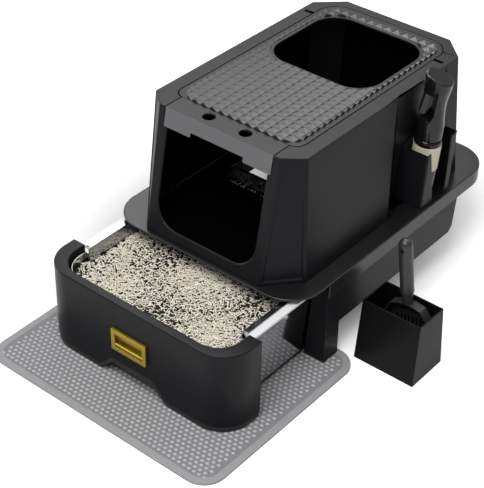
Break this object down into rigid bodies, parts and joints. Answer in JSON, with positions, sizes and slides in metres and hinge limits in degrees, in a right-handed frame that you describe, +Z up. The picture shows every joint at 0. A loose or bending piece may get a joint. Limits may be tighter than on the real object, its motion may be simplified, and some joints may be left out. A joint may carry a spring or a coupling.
{
  "type": "drawer litter box",
  "caption": "Covered pet litter box: hood with front and top entries and a hinged lid, on legs over a pull-out litter drawer, with a mat, a spray bottle and a scoop in a bin.",
  "frame": {"origin": "on the floor, under the middle of the deck's front edge", "axes": "+X to the right as seen from the front, +Y to the back along the drawer's travel, +Z up"},
  "size_m": [0.6008, 0.86, 0.4318],
  "materials": {
    "mat_rubber": "moulded grey sheet with a raised dimple pattern",
    "shell_plastic": "fine-grained injection-moulded polypropylene",
    "lid_plastic": "moulded, with a field of small pyramids",
    "panel_plastic": "mirror-finished acrylic sheet",
    "rail_plastic": "bright extruded trim",
    "tray_plastic": "moulded",
    "tray_steel": "polished stainless sheet",
    "litter_pellets": "extruded plant-fibre pellets",
    "pad_rubber": "moulded",
    "felt_pad": "pressed felt",
    "pull_metal": "brushed and lacquered",
    "screw_steel": "zinc-plated",
    "bottle_plastic": "blown, dark tinted",
    "label_paper": "printed film without print",
    "sprayer_plastic": "moulded, glossy",
    "tube_plastic": "extruded",
    "bin_plastic": "moulded"
  },
  "bodies": {
    "base": {"mat_base": "mat_rubber", "mat_top": "mat_rubber", "deck": "shell_plastic", "skirt_frame": "shell_plastic", "front_leg_left": "shell_plastic", "front_leg_right": "shell_plastic", "rear_leg_left": "shell_plastic", "rear_leg_right": "shell_plastic", "leg_pads": "pad_rubber", "leg_screws": "screw_steel", "hood_shell": "shell_plastic", "hood_screws": "screw_steel", "bottle_pocket": "shell_plastic", "pocket_screws": "screw_steel"},
    "lid": {"lid_front": "lid_plastic", "lid_panel": "lid_plastic", "lid_hinge_pins": "screw_steel"},
    "drawer": {"drawer_front": "shell_plastic", "drawer_base": "tray_plastic", "drawer_back": "panel_plastic", "side_panel_left": "panel_plastic", "side_panel_right": "panel_plastic", "top_rail_left": "rail_plastic", "top_rail_right": "rail_plastic", "litter_tray": "tray_steel", "litter": "litter_pellets", "glide_pads": "felt_pad", "pull_plate": "pull_metal", "pull_grip": "pull_metal", "pull_screws": "screw_steel"},
    "bottle": {"spray_bottle": "bottle_plastic", "bottle_label": "label_paper", "bottle_collar": "sprayer_plastic", "sprayer_head": "sprayer_plastic", "sprayer_nozzle": "sprayer_plastic", "trigger_pin": "screw_steel", "dip_tube": "tube_plastic"},
    "trigger": {"sprayer_trigger": "sprayer_plastic"},
    "bin": {"scoop_bin": "bin_plastic"},
    "scoop": {"scoop_blade": "bin_plastic", "scoop_handle": "bin_plastic"}
  },
  "joints": [
    {"name": "drawer_slide", "type": "slide", "parent": "base", "child": "drawer", "axis": [0, 1, 0], "range_m": [-0.085, 0.164]},
    {"name": "lid_hinge", "type": "hinge", "parent": "base", "child": "lid", "pos_m": [0, 0.472, 0.398], "axis": [-1, 0, 0], "range_deg": [0, 100]},
    {"name": "bottle_lift", "type": "slide", "parent": "base", "child": "bottle", "axis": [0.075, 0, 0.9972], "range_m": [0, 0.16]},
    {"name": "trigger_pull", "type": "hinge", "parent": "bottle", "child": "trigger", "pos_m": [0.17569, 0.39158, 0.39986], "axis": [0.6001, -0.7986, -0.0451], "range_deg": [0, 12], "stiffness_Nm_per_rad": 0.3, "springref_deg": -2.86},
    {"name": "bin_lift", "type": "slide", "parent": "base", "child": "bin", "axis": [0, 0, 1], "range_m": [0, 0.2]},
    {"name": "scoop_lift", "type": "slide", "parent": "bin", "child": "scoop", "axis": [-0.1392, 0, 0.9903], "range_m": [0, 0.2]}
  ]
}
